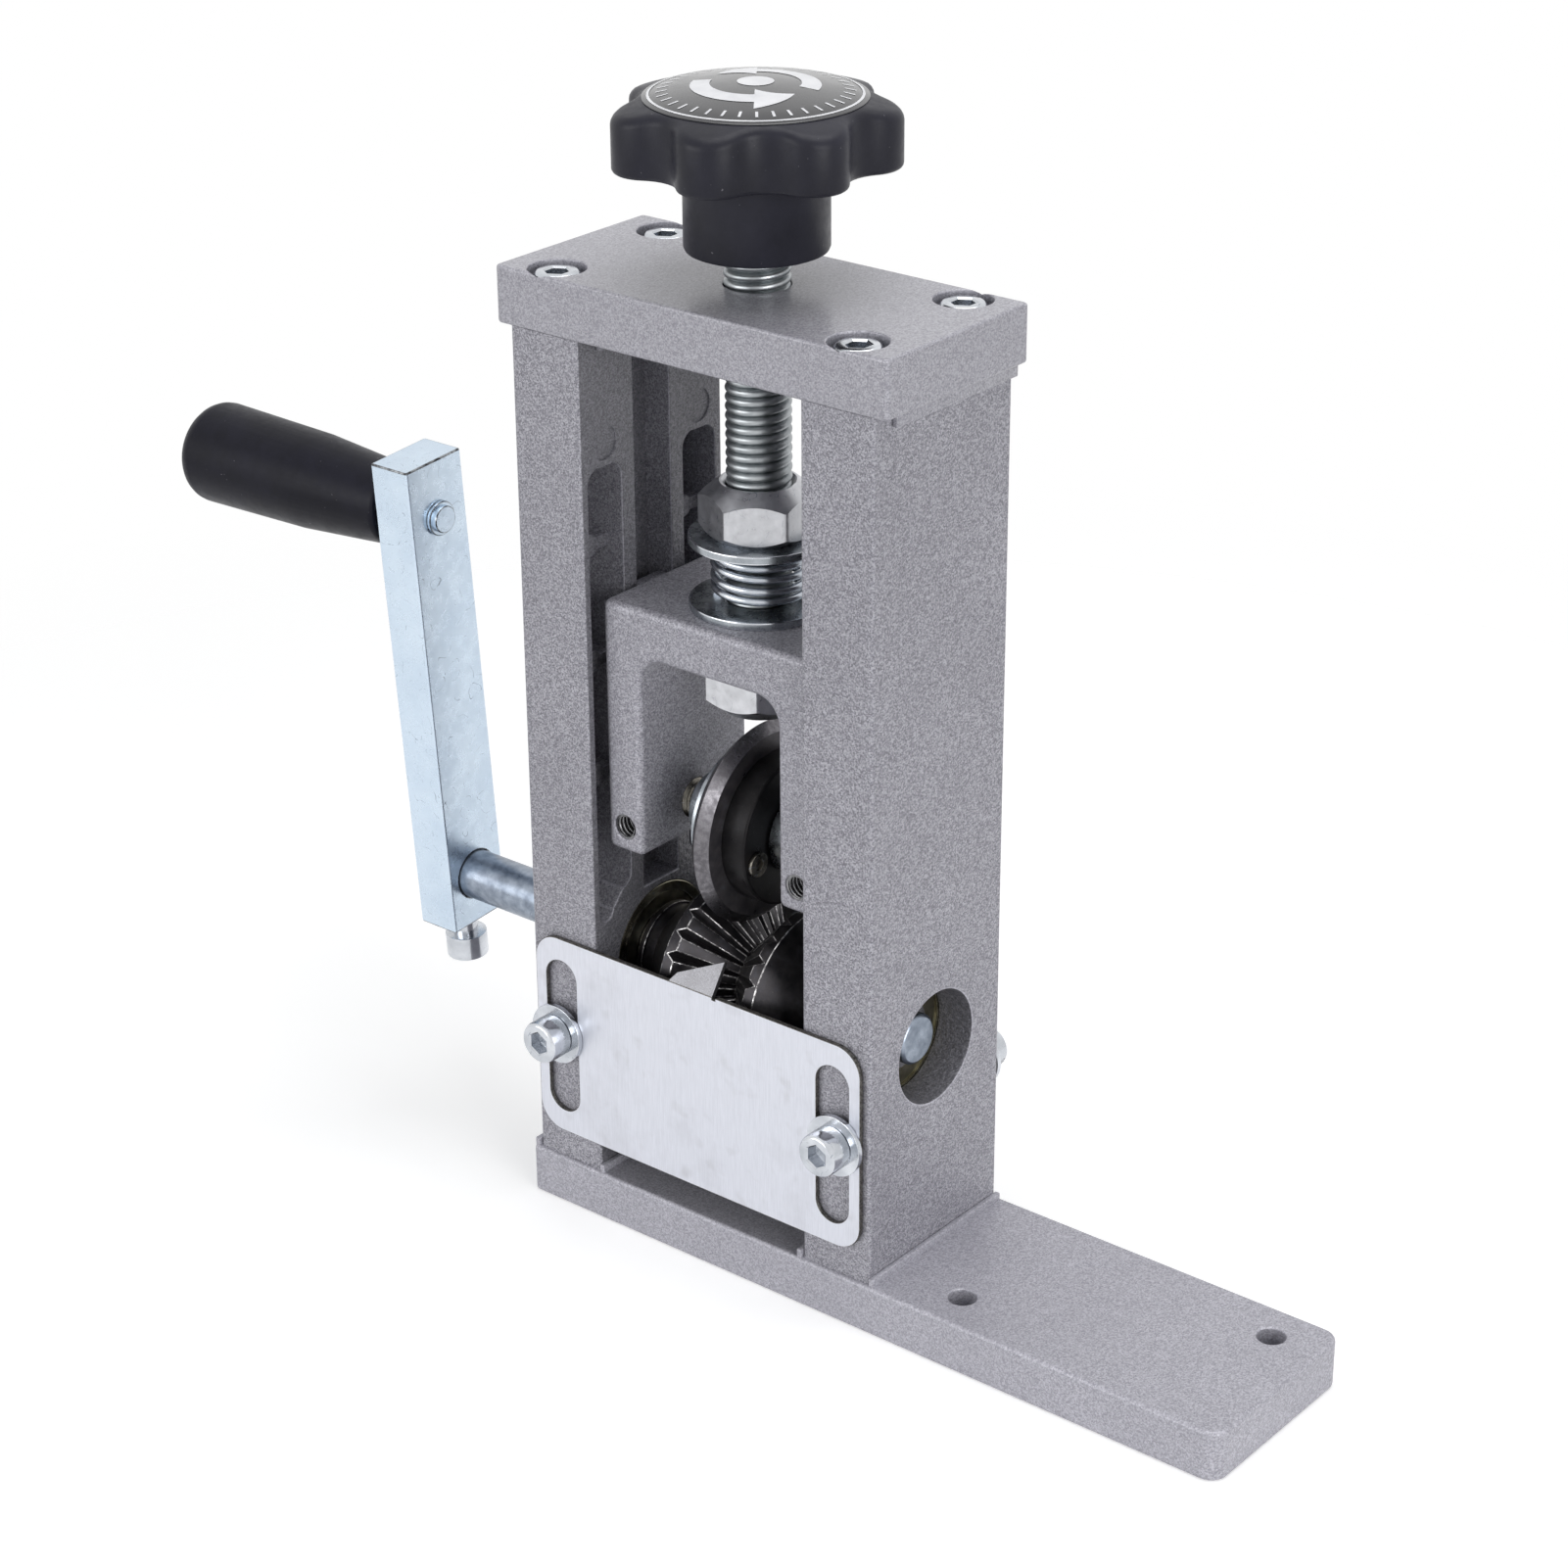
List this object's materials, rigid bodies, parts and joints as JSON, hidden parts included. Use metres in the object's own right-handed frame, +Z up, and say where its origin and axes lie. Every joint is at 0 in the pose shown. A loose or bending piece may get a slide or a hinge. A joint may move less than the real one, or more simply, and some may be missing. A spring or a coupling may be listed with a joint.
{
  "type": "hand crank wire stripper",
  "caption": "Bench wire stripper: cast tower on a long base, hand crank turning a toothed feed roller, and a round blade on a sprung yoke set by a lobed knob.",
  "frame": {"origin": "under the middle of the tower, on the underside of the base", "axes": "+X along the base, away from the crank; -Y is the front that the picture shows; +Z up the tower"},
  "size_m": [0.2566, 0.054, 0.2258],
  "materials": {
    "paint": "fine grained metallic powder coat",
    "zinc": "bright bluish zinc plating",
    "steel": "brushed",
    "black_steel": "blackened and oiled",
    "black_plastic": "satin black",
    "label": "glossy film"
  },
  "bodies": {
    "frame": {"base_plate": "paint", "left_column": "paint", "right_column": "paint", "top_plate": "paint", "top_plate_screws": "zinc", "base_screws": "zinc", "left_bearing_outer_race": "steel", "right_bearing_outer_race": "steel", "left_bearing_shields": "steel", "right_bearing_shields": "steel", "front_guide_screws": "zinc", "rear_guide_screws": "zinc", "front_guide_washers": "zinc", "rear_guide_washers": "zinc"},
    "front_guide": {"front_guide_plate": "steel"},
    "rear_guide": {"rear_guide_plate": "steel"},
    "crank": {"drive_shaft": "zinc", "shaft_spacers": "zinc", "left_feed_roller": "black_steel", "right_feed_roller": "black_steel", "roller_set_screws": "black_steel", "crank_arm": "zinc", "crank_clamp_screw": "zinc", "grip_pin": "zinc", "left_bearing_inner_race": "steel", "right_bearing_inner_race": "steel"},
    "left_balls": {"left_bearing_cage": "steel", "left_bearing_balls": "steel"},
    "right_balls": {"right_bearing_cage": "steel", "right_bearing_balls": "steel"},
    "grip": {"grip": "black_plastic"},
    "lift": {"upper_spring_washer": "zinc", "adjusting_spring": "zinc"},
    "screw": {"adjusting_screw": "zinc", "upper_nut": "zinc", "lower_nut": "zinc", "knob": "black_plastic", "knob_label": "label"},
    "carriage": {"yoke": "paint", "blade_axle": "zinc", "axle_set_screws": "black_steel", "left_axle_spacer": "zinc", "right_axle_spacer": "zinc", "lower_spring_washer": "zinc"},
    "blade": {"blade_wheel": "black_steel", "blade_hub": "zinc", "blade_boss": "black_steel", "blade_screws": "black_steel"}
  },
  "joints": [
    {"name": "front_guide_slide", "type": "slide", "parent": "frame", "child": "front_guide", "axis": [0, 0, 1], "range_m": [-0.0045, 0.009]},
    {"name": "rear_guide_slide", "type": "slide", "parent": "frame", "child": "rear_guide", "axis": [0, 0, 1], "range_m": [-0.0045, 0.009]},
    {"name": "crank_turn", "type": "hinge", "parent": "frame", "child": "crank", "pos_m": [0, 0, 0.052], "axis": [1, 0, 0], "continuous": true},
    {"name": "left_ball_turn", "type": "hinge", "parent": "frame", "child": "left_balls", "pos_m": [0, 0, 0.052], "axis": [1, 0, 0], "continuous": true},
    {"name": "right_ball_turn", "type": "hinge", "parent": "frame", "child": "right_balls", "pos_m": [0, 0, 0.052], "axis": [1, 0, 0], "continuous": true},
    {"name": "grip_turn", "type": "hinge", "parent": "crank", "child": "grip", "pos_m": [-0.11, -0.00576, 0.13039], "axis": [1, 0, 0], "continuous": true},
    {"name": "blade_lift", "type": "slide", "parent": "frame", "child": "lift", "axis": [0, 0, 1], "range_m": [-0.0026, 0.025]},
    {"name": "knob_turn", "type": "hinge", "parent": "lift", "child": "screw", "pos_m": [0, 0, 0.2], "axis": [0, 0, 1], "range_deg": [-535, 5144]},
    {"name": "blade_float", "type": "slide", "parent": "lift", "child": "carriage", "axis": [0, 0, 1], "range_m": [0, 0.0012], "stiffness_N_per_m": 5000, "springref_m": -0.002, "deforming": ["adjusting_spring"]},
    {"name": "blade_turn", "type": "hinge", "parent": "carriage", "child": "blade", "pos_m": [0, 0, 0.0861], "axis": [1, 0, 0], "continuous": true}
  ],
  "couplings": [
    {"joint": "knob_turn", "follows": "blade_lift", "rad_per_m": 3590.4},
    {"joint": "left_ball_turn", "follows": "crank_turn", "ratio": 0.3694},
    {"joint": "right_ball_turn", "follows": "crank_turn", "ratio": 0.3694}
  ]
}
